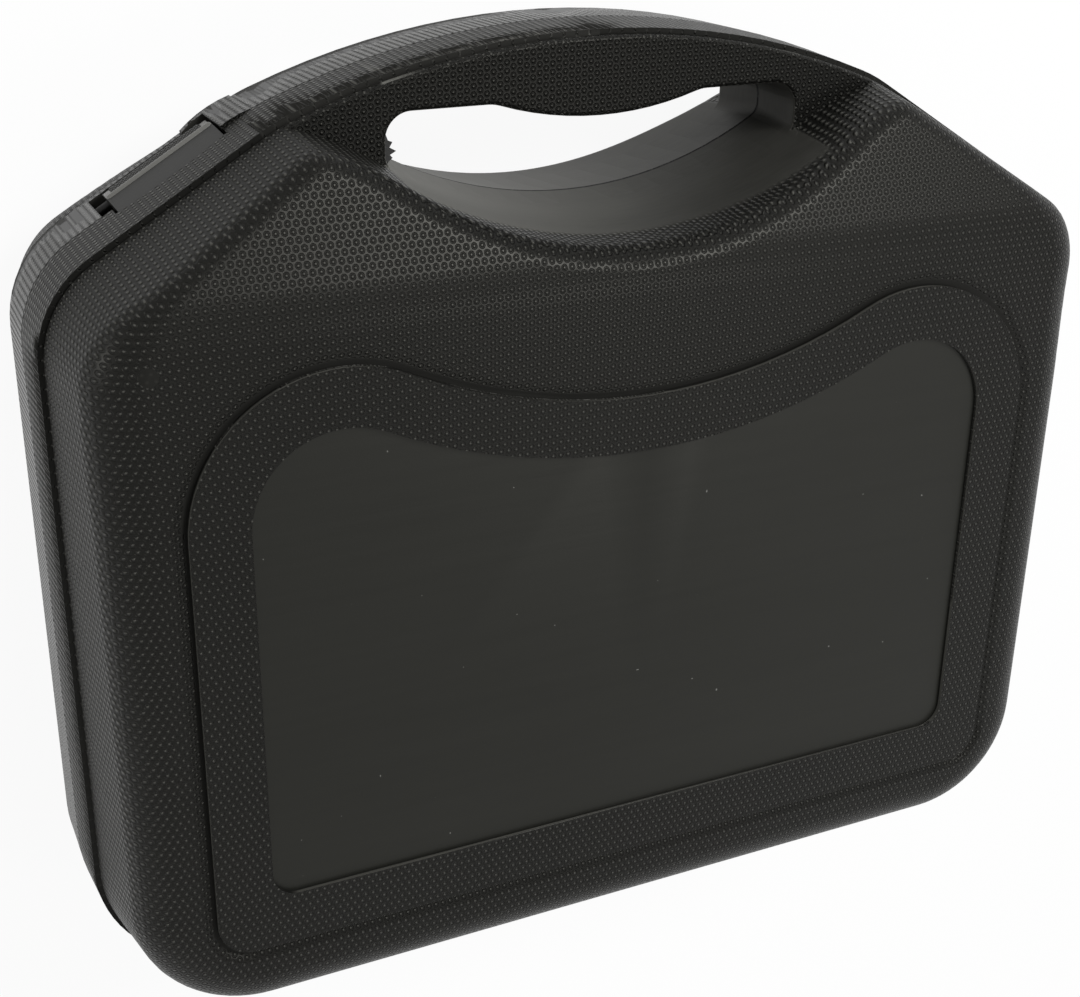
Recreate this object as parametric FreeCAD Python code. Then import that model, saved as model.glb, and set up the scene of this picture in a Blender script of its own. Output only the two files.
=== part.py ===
import FreeCAD, Part
import math
import os

# Hard tool case, lying on its back half the way it is opened.
# X runs along the hinge, Y from the hinge edge to the handle, Z up out of the lid.
# The origin is under the middle of the case, on the surface that it lies on.

Vector = FreeCAD.Vector

# whole case
case_width = 340.0
rim_height = 293.6
base_depth = 51.2
lid_depth = 58.8
parting_gap = 0.4
cut_over = 3.0

# outline of the rim, seen from the front
hinge_corner_radius = 46.0
shoulder_corner_radius = 35.0
shoulder_height_share = 0.7868
crown_point_shares = (0.294, 0.932)
shoulder_blend_radius = 60.0

# the band beside the parting face, the groove behind it and the handle's plate
lid_band_depth = 19.0
base_band_depth = 22.0
lid_band_draft = 0.9
base_band_draft = 0.5
groove_width = 1.2
groove_depth = 1.7
plate_thickness = 1.8
plate_step = 0.05
plate_edge_radius = 1.4

# the body behind the plate
body_inset = 2.4
body_draft_deg = 8.8
edge_radius = 16.0
ridge_radius = 9.0
edge_fade_shares = (0.718, 0.8065)
edge_fade_run = 40.0
tip_radius_low = 7.0
tip_radius_high = 15.0
wall = 3.0

# the face leans back above a soft bend
lid_bend_share = 0.7851
lid_lean_deg = 21.0
base_bend_share = 0.8106
base_lean_deg = 35.0
bend_radius = 40.0

# the dip that leads into the hand opening
dip_floor_share = 0.8215
dip_radius = 128.0
dip_half_width = 70.0
dip_shoulder_radius = 92.0
dip_end_angle_deg = 8.0
dip_draft_deg = 5.0

# hand opening and the finger swell on the grip
hand_half_width = 68.0
grip_width = 20.1
hand_end_radius = 8.0
hand_foot_radius = 5.0
swell_radius = 108.0
swell_depth = 5.6
swell_blend_radius = 12.0
opening_edge_radius = 1.6
opening_edge_run = 22.0

# raised pad with a wavy top, the channel round it and the smooth panel in it
pad_width_share = 0.8282
pad_bottom_share = 0.107
pad_crest_share = 0.7302
pad_crest_radius = 45.0
pad_dip_share = 0.6553
pad_corner_radius = 11.5
pad_rise = 0.5
channel_width = 4.2
channel_depth = 1.6
channel_lip = 1.2
panel_margin = 17.5
panel_corner_radius = 8.0
panel_depth = 1.5

# the mouth of each half, with the ledge that the liner's flange lies in
mouth_land = 13.0
mouth_dip_land = 9.0
mouth_tip_radius = 12.0
undercut_start = 1.0
liner_sheet = 1.8
liner_fit = 0.05
liner_ledge = 4.0

# the base liner's pockets: left, low, right and high edges as shares of the case's width and height
pocket_draft_deg = 4.0
pocket_corner = 12.0
pocket_floor_radius = 5.0
tool_depth_share = 0.84
tool_barrel_shares = (-0.406, 0.0136, 0.1294, 0.2248)
tool_grip_shares = (-0.1824, -0.3747, -0.0412, 0.1703)
tool_foot_shares = (-0.2529, -0.436, 0.1059, -0.2248)
charger_depth_share = 0.78
charger_shares = (0.1765, -0.436, 0.406, -0.0749)
parts_depth_share = 0.586
parts_shares = (0.1765, -0.0204, 0.406, 0.2248)
bits_depth_share = 0.469
bits_shares = (-0.406, -0.3815, -0.2941, -0.0341)

# the lid liner's tray and the ribs that hold the tool down
tray_depth_share = 0.408
tray_shares = (-0.4118, -0.436, 0.4118, 0.2316)
tray_corner = 22.0
rib_width = 14.0
rib_height_share = 0.625
rib_place_shares = (-0.247, 0, 0.247)
rib_radius = 3.0

# hinges
hinge_reach = 2.5
hinge_place_share = 0.3088
knuckle_radius = 5.0
knuckle_root = 6.0
knuckle_bite = 3.0
knuckle_length = 14.0
knuckle_side_gap = 0.4
knuckle_turn_gap = 0.5
hinge_pin_radius = 2.0
hinge_pin_fit = 0.05
pin_head_radius = 3.2
pin_head_length = 1.2
pin_head_gap = 0.4

# latches
latch_length = 36.5
latch_low_gap = 4.4
latch_high_gap = 0.7
latch_place_share = 0.3681
latch_pivot_back = 15.5
latch_pivot_sink = 3.4
latch_pin_radius = 1.4
latch_pin_fit = 0.05
latch_pin_hold = 6.0
latch_turn_gap = 0.5
latch_ridge_back = 7.0
latch_ridge_rise = 0.8
latch_ridge_width = 1.6
latch_nose = 5.0
latch_nose_bow = 1.8
latch_nose_drop = 1.6
latch_nose_thickness = 2.6
latch_plate = 3.2
latch_corner_radius = 1.2
catch_gap = 1.0
catch_floor_gap = 0.5
bulge_length = 18.0
bulge_rise = 1.0
bulge_share = 0.1

# feet on the hinge edge
foot_length = 21.0
foot_width = 12.0
foot_rise = 3.7
foot_sink = 1.6
foot_fit = 0.05
foot_radius = 2.4
foot_place_share = 0.231
foot_from_parting = 31.5

hinge_edge_y = -rim_height / 2
hinge_axis_y = hinge_edge_y - hinge_reach
hinge_place = hinge_place_share * case_width
foot_place = foot_place_share * case_width
latch_middle_x = latch_place_share * case_width
# the shoulder's line meets the crown's arc at one point
shoulder_height = shoulder_height_share * rim_height
crown_point = (crown_point_shares[0] * case_width, crown_point_shares[1] * rim_height)
shoulder_rise = (crown_point[1] - shoulder_height) / (case_width / 2 - crown_point[0])
shoulder_angle = math.atan(shoulder_rise)
crown_sag = rim_height - crown_point[1]
crown_radius = (crown_point[0] ** 2 + crown_sag ** 2) / (2 * crown_sag)
dip_floor_height = dip_floor_share * rim_height
hand_top_height = rim_height - grip_width
tray_depth = tray_depth_share * lid_depth
rib_height = rib_height_share * tray_depth


def up(point, height):
    """The plan point (x, y) at a height."""
    return Vector(point[0], point[1], height)


def arc(start, centre, radius, end, height):
    """The shorter arc from start to end round a centre."""
    middle = Vector((start[0] + end[0]) / 2 - centre[0], (start[1] + end[1]) / 2 - centre[1], 0)
    middle.normalize()
    through = (centre[0] + radius * middle.x, centre[1] + radius * middle.y)
    return Part.Arc(up(start, height), up(through, height), up(end, height)).toShape()


def line(start, end, height):
    return Part.makeLine(up(start, height), up(end, height))


def mirrored_loop(right_half):
    """A closed wire from the right half's edges and their mirror image."""
    left_half = [edge.mirror(Vector(0, 0, 0), Vector(1, 0, 0)) for edge in right_half]
    return Part.Wire(Part.__sortEdges__(right_half + left_half))


def rim_outline(inset, height):
    """The rim's outline, drawn in by an inset, as a wire at a height."""
    side_x = case_width / 2 - inset
    low_y = hinge_edge_y + inset
    corner = hinge_corner_radius - inset
    low_start = (side_x - corner, low_y)
    low_end = (side_x, low_y + corner)
    along = (-math.cos(shoulder_angle), math.sin(shoulder_angle))
    inward = (-math.sin(shoulder_angle), -math.cos(shoulder_angle))
    # the shoulder line, moved in by the inset, crosses the side here
    shoulder_x = case_width / 2 + inset * inward[0]
    shoulder_y = hinge_edge_y + shoulder_height + inset * inward[1]
    cross_y = shoulder_y + (shoulder_x - side_x) * shoulder_rise
    turn = shoulder_corner_radius - inset
    tangent = turn * math.tan((math.pi / 2 - shoulder_angle) / 2)
    side_end = (side_x, cross_y - tangent)
    side_middle = (side_x, side_end[1] - edge_fade_run)
    shoulder_start = (side_x + tangent * along[0], cross_y + tangent * along[1])
    turn_centre = (side_x - turn, cross_y - tangent)
    # the blend touches the shoulder line and the crown arc from inside
    crown_centre_y = hinge_edge_y + rim_height - crown_radius
    crown = crown_radius - inset
    blend = shoulder_blend_radius - inset
    from_x = shoulder_start[0] + blend * inward[0]
    from_y = shoulder_start[1] + blend * inward[1] - crown_centre_y
    half_b = from_x * along[0] + from_y * along[1]
    rest = from_x ** 2 + from_y ** 2 - (crown - blend) ** 2
    reach = -half_b + math.sqrt(half_b ** 2 - rest)
    blend_centre = (from_x + reach * along[0], from_y + reach * along[1] + crown_centre_y)
    shoulder_end = (blend_centre[0] - blend * inward[0], blend_centre[1] - blend * inward[1])
    outward = Vector(blend_centre[0], blend_centre[1] - crown_centre_y, 0)
    outward.normalize()
    crown_start = (blend_centre[0] + blend * outward.x, blend_centre[1] + blend * outward.y)
    crown_end = (0, crown_centre_y + crown)
    return mirrored_loop([
        line((0, low_y), low_start, height),
        arc(low_start, (side_x - corner, low_y + corner), corner, low_end, height),
        line(low_end, side_middle, height),
        line(side_middle, side_end, height),
        arc(side_end, turn_centre, turn, shoulder_start, height),
        line(shoulder_start, shoulder_end, height),
        arc(shoulder_end, blend_centre, blend, crown_start, height),
        arc(crown_start, (0, crown_centre_y), crown, crown_end, height)])


def slab(outline, low, high):
    """A prism of a flat outline between two heights."""
    face = Part.Face(outline)
    face.translate(Vector(0, 0, low - outline.BoundBox.ZMin))
    return face.extrude(Vector(0, 0, high - low))


def drafted(low_wire, high_wire):
    return Part.makeLoft([low_wire, high_wire], True, True)


def dip_outline(offset, height):
    """The dip's lower edge, an S on each side, closed far above the handle."""
    centre_y = hinge_edge_y + dip_floor_height + dip_radius
    radius = dip_radius + offset
    lean = math.asin(dip_half_width / dip_radius)
    turn_out = (radius * math.sin(lean), centre_y - radius * math.cos(lean))
    turn_radius = dip_shoulder_radius - offset
    end_lean = math.radians(dip_end_angle_deg)
    shoulder_centre = (turn_out[0] + turn_radius * math.sin(lean), turn_out[1] - turn_radius * math.cos(lean))
    end = (shoulder_centre[0] - turn_radius * math.sin(end_lean), shoulder_centre[1] + turn_radius * math.cos(end_lean))
    far_x = case_width / 2 + cut_over
    far = (far_x, end[1] + (far_x - end[0]) * math.tan(end_lean))
    top_y = hinge_edge_y + rim_height + dip_radius
    return mirrored_loop([
        arc((0, centre_y - radius), (0, centre_y), radius, turn_out, height),
        arc(turn_out, shoulder_centre, turn_radius, end, height),
        line(end, far, height),
        line(far, (far_x, top_y), height),
        line((far_x, top_y), (0, top_y), height)])


def face_of(solid, direction):
    """The solid's flat face that looks a given way."""
    for face in solid.Faces:
        u0, u1, v0, v1 = face.ParameterRange
        normal = face.normalAt((u0 + u1) / 2, (v0 + v1) / 2)
        if (normal - direction).Length < parting_gap:
            return face


def round_the_case(point):
    """How far round the case a point lies, counted from the middle of the hinge edge."""
    return math.atan2(point.x, -point.y) % (2 * math.pi)


def middle_of(edge):
    return edge.valueAt((edge.FirstParameter + edge.LastParameter) / 2)


def dipped_outline(inset, dip_offset, tip_radius, height):
    """The rim's outline with the dip taken out of its top and the tips rounded."""
    sheet = slab(rim_outline(inset, 0), 0, wall)
    sheet = sheet.cut(slab(dip_outline(dip_offset, 0), -wall, 2 * wall))
    upright = [edge for edge in sheet.Edges if edge.BoundBox.ZLength > wall / 2]
    top = max(edge.CenterOfMass.y for edge in upright)
    tips = [edge for edge in upright if edge.CenterOfMass.y > top - parting_gap]
    sheet = sheet.makeFillet(tip_radius, tips)
    edges = sorted(face_of(sheet, Vector(0, 0, -1)).OuterWire.Edges,
                   key=lambda edge: round_the_case(middle_of(edge)))
    wire = Part.Wire(Part.__sortEdges__(edges))
    wire.translate(Vector(0, 0, height))
    return wire


def face_profile(depth, lean_deg, bend_share, offset):
    """Everything under the face: flat, then a soft bend, then leaning back."""
    top = depth - offset
    lean = math.radians(lean_deg)
    bend_y = hinge_edge_y + bend_share * rim_height
    radius = bend_radius - offset
    tangent = bend_radius * math.tan(lean / 2) - offset * math.tan(lean / 2)
    flat_end = Vector(0, bend_y - tangent, top)
    lean_start = Vector(0, bend_y + tangent * math.cos(lean), top - tangent * math.sin(lean))
    centre = Vector(0, flat_end.y, top - radius)
    middle = Vector(0, centre.y + radius * math.sin(lean / 2), centre.z + radius * math.cos(lean / 2))
    far_y = rim_height
    lean_end = Vector(0, far_y, lean_start.z - (far_y - lean_start.y) * math.tan(lean))
    near_y = hinge_edge_y - cut_over
    floor = -rim_height
    edges = [
        Part.makeLine(Vector(0, near_y, floor), Vector(0, near_y, top)),
        Part.makeLine(Vector(0, near_y, top), flat_end),
        Part.Arc(flat_end, middle, lean_start).toShape(),
        Part.makeLine(lean_start, lean_end),
        Part.makeLine(lean_end, Vector(0, far_y, floor)),
        Part.makeLine(Vector(0, far_y, floor), Vector(0, near_y, floor))]
    face = Part.Face(Part.Wire(edges))
    face.translate(Vector(-case_width, 0, 0))
    return face.extrude(Vector(2 * case_width, 0, 0))


def plate_start_of(band_depth):
    """Where the body begins behind the band and its groove."""
    return band_depth + groove_width


def body_inset_at(height, band_depth):
    """How far the body's wall lies inside the rim at a height."""
    return body_inset + (height - plate_start_of(band_depth)) * math.tan(math.radians(body_draft_deg))


def edge_radius_at(point):
    """The face's edge is rounded widely below, and fades to a tight ridge above."""
    start, end = edge_fade_shares
    share = ((point.y - hinge_edge_y) / rim_height - start) / (end - start)
    share = min(max(share, 0), 1)
    return edge_radius + (ridge_radius - edge_radius) * share


def rounded(solid, edge_radii):
    """The solid with each listed edge rounded from one radius to another."""
    document = FreeCAD.newDocument("rounding")
    plain = document.addObject("Part::Feature", "plain")
    plain.Shape = solid
    fillet = document.addObject("Part::Fillet", "fillet")
    fillet.Base = plain
    fillet.Edges = edge_radii
    document.recompute()
    result = fillet.Shape.copy()
    FreeCAD.closeDocument(document.Name)
    return result


def looks_out(face):
    u0, u1, v0, v1 = face.ParameterRange
    return face.normalAt((u0 + u1) / 2, (v0 + v1) / 2).z > math.sin(math.pi / 6)


def body(depth, band_depth, lean_deg, bend_share, low, offset):
    """The body behind the plate, drawn in all over by an offset."""
    high = depth + cut_over
    spread = math.tan(math.radians(dip_draft_deg))
    low_inset = body_inset_at(low, band_depth) + offset
    high_inset = body_inset_at(high, band_depth) + offset
    block = drafted(dipped_outline(low_inset, low * spread + offset, tip_radius_low, low),
                    dipped_outline(high_inset, high * spread + offset, tip_radius_high, high))
    block = block.common(face_profile(depth, lean_deg, bend_share, offset))
    edge_radii = []
    for number, edge in enumerate(block.Edges, 1):
        sides = block.ancestorsOfType(edge, Part.Face)
        if len(sides) == 2 and looks_out(sides[0]) != looks_out(sides[1]):
            ends = [edge.valueAt(edge.FirstParameter), edge.valueAt(edge.LastParameter)]
            ends.sort(key=round_the_case)
            edge_radii.append((number, edge_radius_at(ends[0]) - offset, edge_radius_at(ends[1]) - offset))
    return rounded(block, edge_radii)


def dip_cutter(depth):
    """Everything above the dip's wall, which falls away as it leaves the parting face."""
    reach = depth + cut_over
    spread = reach * math.tan(math.radians(dip_draft_deg))
    return drafted(dip_outline(0, 0), dip_outline(spread, reach))


def hand_opening(depth):
    """The opening for the hand: the dip's wall below, the grip's swell above."""
    top_y = hinge_edge_y + hand_top_height
    low_y = hinge_edge_y + dip_floor_height - depth
    swell_y = top_y - swell_depth + swell_radius
    blend_y = top_y - swell_blend_radius
    blend_x = math.sqrt((swell_radius + swell_blend_radius) ** 2 - (swell_y - blend_y) ** 2)
    share = swell_radius / (swell_radius + swell_blend_radius)
    touch = (blend_x * share, swell_y + (blend_y - swell_y) * share)
    end_x = hand_half_width - hand_end_radius
    end_y = top_y - hand_end_radius
    outline = mirrored_loop([
        line((0, low_y), (hand_half_width, low_y), 0),
        line((hand_half_width, low_y), (hand_half_width, end_y), 0),
        arc((hand_half_width, end_y), (end_x, end_y), hand_end_radius, (end_x, top_y), 0),
        line((end_x, top_y), (blend_x, top_y), 0),
        arc((blend_x, top_y), (blend_x, blend_y), swell_blend_radius, touch, 0),
        arc(touch, (0, swell_y), swell_radius, (0, top_y - swell_depth), 0)])
    opening = slab(outline, -cut_over, depth + cut_over).common(dip_cutter(depth))
    feet = []
    for edge in opening.Edges:
        box = edge.BoundBox
        if box.ZLength > depth / 2 and abs(abs(box.XMin) - hand_half_width) < parting_gap and box.YMin < end_y - cut_over:
            feet.append(edge)
    return opening.makeFillet(hand_foot_radius, feet)


def pad_outline(inset, corner, height):
    """The wave-topped outline of the pad, drawn in by an inset."""
    half_width = pad_width_share * case_width / 2
    side_x = half_width - inset
    low_y = hinge_edge_y + pad_bottom_share * rim_height + inset
    crest_x = half_width - pad_crest_radius
    crest_y = hinge_edge_y + pad_crest_share * rim_height - pad_crest_radius
    crest = pad_crest_radius - inset
    # the dip's arc touches both crests from outside
    drop = (pad_dip_share - pad_crest_share) * rim_height + pad_crest_radius
    hollow = (crest_x ** 2 + drop ** 2 - pad_crest_radius ** 2) / (2 * (pad_crest_radius - drop))
    hollow_y = crest_y + drop + hollow
    share = pad_crest_radius / (pad_crest_radius + hollow)
    toward = (-crest_x * share / pad_crest_radius, (hollow_y - crest_y) * share / pad_crest_radius)
    touch = (crest_x + crest * toward[0], crest_y + crest * toward[1])
    return mirrored_loop([
        line((0, low_y), (side_x - corner, low_y), height),
        arc((side_x - corner, low_y), (side_x - corner, low_y + corner), corner, (side_x, low_y + corner), height),
        line((side_x, low_y + corner), (side_x, crest_y), height),
        crest_arc(side_x, crest_x, crest_y, crest, touch, height),
        arc(touch, (0, hollow_y), hollow + inset, (0, hollow_y - hollow - inset), height)])


def crest_arc(side_x, crest_x, crest_y, crest, touch, height):
    """The crest's arc from the pad's side over its top, which passes the highest point."""
    high = (crest_x, crest_y + crest)
    return Part.Arc(up((side_x, crest_y), height), up(high, height), up(touch, height)).toShape()


def top_edges(solid):
    """The edges round the solid's highest flat face."""
    return face_of(solid, Vector(0, 0, 1)).Edges


def opening_edges(shell, level):
    """The upper edges of the hand opening on the grip's plate."""
    low_y = hinge_edge_y + hand_top_height - hand_end_radius - opening_edge_run
    found = []
    for edge in shell.Edges:
        box = edge.BoundBox
        flat = abs(box.ZMin - level) < parting_gap / 2 and abs(box.ZMax - level) < parting_gap / 2
        near = max(abs(box.XMin), abs(box.XMax)) < hand_half_width + parting_gap
        top_y = hinge_edge_y + hand_top_height + parting_gap
        if flat and near and box.YMin > low_y and box.YMax < top_y:
            found.append(edge)
    return found


def half(depth, band_depth, band_draft, lean_deg, bend_share):
    """One half's shell, built from the parting face at zero outwards."""
    face = depth - pad_rise
    low = parting_gap / 2
    start = plate_start_of(band_depth)
    top = start + plate_thickness
    band = drafted(rim_outline(0, low), rim_outline(band_draft, band_depth))
    neck = slab(rim_outline(body_inset + groove_depth, 0), low, top)
    plate = drafted(rim_outline(body_inset + plate_step, start),
                    rim_outline(body_inset_at(top, band_depth) + plate_step, top))
    plate = plate.makeFillet(plate_edge_radius, top_edges(plate))
    shell = band.fuse([neck, plate, body(face, band_depth, lean_deg, bend_share, start, 0)])
    shell = shell.cut(hand_opening(depth))
    shell = shell.makeFillet(opening_edge_radius, opening_edges(shell, top))
    # the channel falls from its outer edge to the foot of the pad
    channel = drafted(pad_outline(-channel_lip, pad_corner_radius + channel_lip, face - channel_depth),
                      pad_outline(-channel_width, pad_corner_radius + channel_width, face))
    shell = shell.cut(channel).fuse(slab(pad_outline(0, pad_corner_radius, 0), face - wall, depth))
    inside_low = top + undercut_start
    mouth = slab(dipped_outline(mouth_land, mouth_dip_land, mouth_tip_radius, 0), -cut_over, inside_low + wall)
    ledge = slab(liner_outline(0), -cut_over, low + liner_sheet)
    inside = body(face, band_depth, lean_deg, bend_share, inside_low, wall)
    return shell.cut(mouth.fuse([inside, ledge]))


def panel_recess():
    """The smooth sunk panel in the lid's pad."""
    return slab(pad_outline(panel_margin, panel_corner_radius, 0), lid_depth - panel_depth, lid_depth + cut_over)


def liner_outline(fit):
    """The outline of the ledge, or of the flange that lies in it with a fit."""
    inset = mouth_land - liner_ledge + fit
    return dipped_outline(inset, mouth_dip_land - liner_ledge + fit, mouth_tip_radius, 0)


def box_loop(box, inset, corner, height):
    """A rectangle with rounded corners, from its four edges in the plan."""
    left, low, right, high = box[0] + inset, box[1] + inset, box[2] - inset, box[3] - inset
    return Part.Wire([
        line((left + corner, low), (right - corner, low), height),
        arc((right - corner, low), (right - corner, low + corner), corner, (right, low + corner), height),
        line((right, low + corner), (right, high - corner), height),
        arc((right, high - corner), (right - corner, high - corner), corner, (right - corner, high), height),
        line((right - corner, high), (left + corner, high), height),
        arc((left + corner, high), (left + corner, high - corner), corner, (left, high - corner), height),
        line((left, high - corner), (left, low + corner), height),
        arc((left, low + corner), (left + corner, low + corner), corner, (left + corner, low), height)])


def pocket(shares, depth, corner, grow):
    """A pocket's hollow, or its outside where it is grown by the sheet."""
    box = (shares[0] * case_width, shares[1] * rim_height, shares[2] * case_width, shares[3] * rim_height)
    low = parting_gap / 2
    floor = depth + grow
    narrow = (floor - low) * math.tan(math.radians(pocket_draft_deg))
    hollow = drafted(box_loop(box, -grow, corner + grow, low),
                     box_loop(box, narrow - grow, corner + grow, floor))
    radius = pocket_floor_radius + grow
    foot = [edge for edge in hollow.Edges if edge.BoundBox.ZMin > floor - parting_gap]
    return hollow.makeFillet(radius, foot)


def base_pockets(grow):
    tool_depth = tool_depth_share * base_depth
    tool = pocket(tool_barrel_shares, tool_depth, pocket_corner, grow)
    tool = tool.fuse([pocket(tool_grip_shares, tool_depth, pocket_corner, grow),
                      pocket(tool_foot_shares, tool_depth, pocket_corner, grow)])
    return [tool,
            pocket(charger_shares, charger_depth_share * base_depth, pocket_corner, grow),
            pocket(parts_shares, parts_depth_share * base_depth, pocket_corner, grow),
            pocket(bits_shares, bits_depth_share * base_depth, pocket_corner, grow)]


def tray(grow):
    """The lid liner's tray with its ribs left standing, drawn in by the sheet from outside."""
    hollow = pocket(tray_shares, tray_depth, tray_corner, grow)
    ribs = []
    for share in rib_place_shares:
        place = share * case_width
        half_width = rib_width / 2 - grow
        low = tray_depth - rib_height + grow
        rib = Part.makeBox(2 * half_width, rim_height, tray_depth, Vector(place - half_width, hinge_edge_y, low))
        lengthwise = [edge for edge in rib.Edges if edge.BoundBox.YLength > rib_height and edge.BoundBox.ZMax < tray_depth]
        ribs.append(rib.makeFillet(rib_radius - grow, lengthwise))
    return hollow.cut(ribs)


def liner(outsides, hollows):
    """A sheet tray: a flange in the ledge with pockets hanging from it."""
    low = parting_gap / 2
    sheet = slab(liner_outline(liner_fit), low, low + liner_sheet)
    return sheet.fuse(outsides).cut(hollows).removeSplitter()


def cylinder_x(radius, start, end, y, z):
    return Part.makeCylinder(radius, end - start, Vector(start, y, z), Vector(1, 0, 0))


def knuckle(start, end, side, grow):
    """A hinge knuckle with its root; side is 1 for the lid and -1 for the base."""
    barrel = cylinder_x(knuckle_radius + grow, start - grow, end + grow, hinge_axis_y, 0)
    low = 0 if side > 0 else -knuckle_root
    reach = hinge_reach + knuckle_bite
    root = Part.makeBox(end - start, reach, knuckle_root, Vector(start, hinge_axis_y, low))
    return barrel.fuse(root)


def knuckle_spans(side):
    """Where one side's knuckles start and end along the right hinge: the lid's is the middle one."""
    first = hinge_place - knuckle_length / 2
    step = knuckle_length + knuckle_side_gap
    shifts = [0] if side > 0 else [-step, step]
    return [(first + shift, first + shift + knuckle_length) for shift in shifts]


def with_knuckles(shell, side):
    """The shell with its own knuckles, room for the other half's, and the pin's bore."""
    rooms = []
    for start, end in knuckle_spans(-side):
        gap = knuckle_side_gap
        rooms.append(cylinder_x(knuckle_radius + knuckle_turn_gap, start - gap, end + gap, hinge_axis_y, 0))
    # the pin's heads turn just inside the wall
    outer = knuckle_spans(-1)
    reach = pin_head_length + pin_head_gap
    rooms.append(cylinder_x(pin_head_radius + pin_head_gap, outer[0][0] - reach, outer[1][1] + reach, hinge_axis_y, 0))
    shell = shell.cut(rooms + [flipped(room) for room in rooms])
    for start, end in knuckle_spans(side):
        own = knuckle(start, end, side, 0)
        shell = shell.fuse([own, flipped(own)])
    bore = cylinder_x(hinge_pin_radius + hinge_pin_fit, -case_width, case_width, hinge_axis_y, 0)
    return shell.cut(bore)


def flipped(shape):
    """The left hand copy of a right hand shape."""
    return shape.mirror(Vector(0, 0, 0), Vector(1, 0, 0))


def hinge_pin():
    """The right hinge's pin, with a head at each end."""
    spans = knuckle_spans(-1)
    start, end = spans[0][0], spans[1][1]
    shaft = cylinder_x(hinge_pin_radius, start - pin_head_length, end + pin_head_length, hinge_axis_y, 0)
    heads = [cylinder_x(pin_head_radius, start - pin_head_length, start, hinge_axis_y, 0),
             cylinder_x(pin_head_radius, end, end + pin_head_length, hinge_axis_y, 0)]
    return shaft.fuse(heads)


def on_shoulder(shape):
    """A shape drawn with X down the right shoulder and Y out of it, set in its place."""
    line_y = hinge_edge_y + shoulder_height + (case_width / 2 - latch_middle_x) * shoulder_rise
    placed = shape.copy()
    placed.rotate(Vector(0, 0, 0), Vector(0, 0, 1), -math.degrees(shoulder_angle))
    placed.translate(Vector(latch_middle_x, line_y, 0))
    return placed


def across(points, start, end):
    """A prism along the shoulder from the section's points (height, outward)."""
    corners = [Vector(start, out, height) for height, out in points]
    face = Part.Face(Part.makePolygon(corners + corners[:1]))
    return face.extrude(Vector(end - start, 0, 0))


def bowed(length, ends, bow, out_low, out_high):
    """A plate over the parting face whose far edge bows away from it along an arc."""
    side = length / 2
    low = -base_depth
    edges = [Part.makeLine(Vector(-side, out_low, ends), Vector(-side, out_low, low)),
             Part.makeLine(Vector(-side, out_low, low), Vector(side, out_low, low)),
             Part.makeLine(Vector(side, out_low, low), Vector(side, out_low, ends)),
             Part.Arc(Vector(side, out_low, ends), Vector(0, out_low, ends + bow),
                      Vector(-side, out_low, ends)).toShape()]
    return Part.Face(Part.Wire(edges)).extrude(Vector(0, out_high - out_low, 0))


def latch():
    """The right latch in its shoulder frame: a flush plate, a pulling ridge and a bevelled nose."""
    side = latch_length / 2
    back = -latch_pivot_back
    ridge = -latch_ridge_back
    nose = latch_nose + cut_over
    slope = (latch_ridge_rise + latch_nose_drop) / (latch_nose + latch_ridge_back)
    nose_out = latch_ridge_rise - slope * (nose - ridge)
    boss = latch_pivot_sink
    section = [(back, 0), (ridge - 2 * latch_ridge_width, 0), (ridge - latch_ridge_width, latch_ridge_rise),
               (ridge, latch_ridge_rise), (nose, nose_out), (nose, nose_out - latch_nose_thickness),
               (0, -latch_plate), (back + 2 * boss, -latch_plate), (back, -2 * boss)]
    plate = across(section, -side, side)
    tail = cylinder_x(boss, -side, side, -latch_pivot_sink, back)
    ends = latch_nose - latch_nose_bow
    shape = plate.fuse(tail).common(bowed(latch_length, ends, latch_nose_bow, -base_depth, base_depth))
    bore = cylinder_x(latch_pin_radius + latch_pin_fit, -case_width, case_width, -latch_pivot_sink, back)
    return shape.cut(bore).removeSplitter()


def notch_span():
    """The notch is longer than the latch, more at its low end than at its high end."""
    side = latch_length / 2
    return -side - latch_high_gap, side + latch_low_gap


def base_notch():
    """The room for the right latch in the base's rim, with the pin's blind bore."""
    start, end = notch_span()
    back = -latch_pivot_back
    room_radius = latch_pivot_sink + latch_turn_gap
    floor = -latch_pivot_sink - room_radius
    front = Part.makeBox(end - start, case_width, latch_pivot_back + cut_over, Vector(start, floor, back))
    tail = cylinder_x(room_radius, start, end, -latch_pivot_sink, back)
    mouth = Part.makeBox(end - start, case_width, room_radius, Vector(start, -latch_pivot_sink, back - room_radius))
    bore = cylinder_x(latch_pin_radius + latch_pin_fit, start - latch_pin_hold, end + latch_pin_hold,
                      -latch_pivot_sink, back)
    return front.fuse([tail, mouth, bore])


def latch_pin():
    start, end = notch_span()
    hold = latch_pin_hold - latch_turn_gap
    return cylinder_x(latch_pin_radius, start - hold, end + hold, -latch_pivot_sink, -latch_pivot_back)


def lid_recess():
    """The bowed recess in the lid's rim that the right latch's nose lies over."""
    length = latch_length + 2 * catch_gap
    ends = latch_nose - latch_nose_bow + catch_gap
    floor = -latch_nose_drop - latch_nose_thickness - catch_floor_gap
    return bowed(length, ends, latch_nose_bow, floor, case_width)


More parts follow.
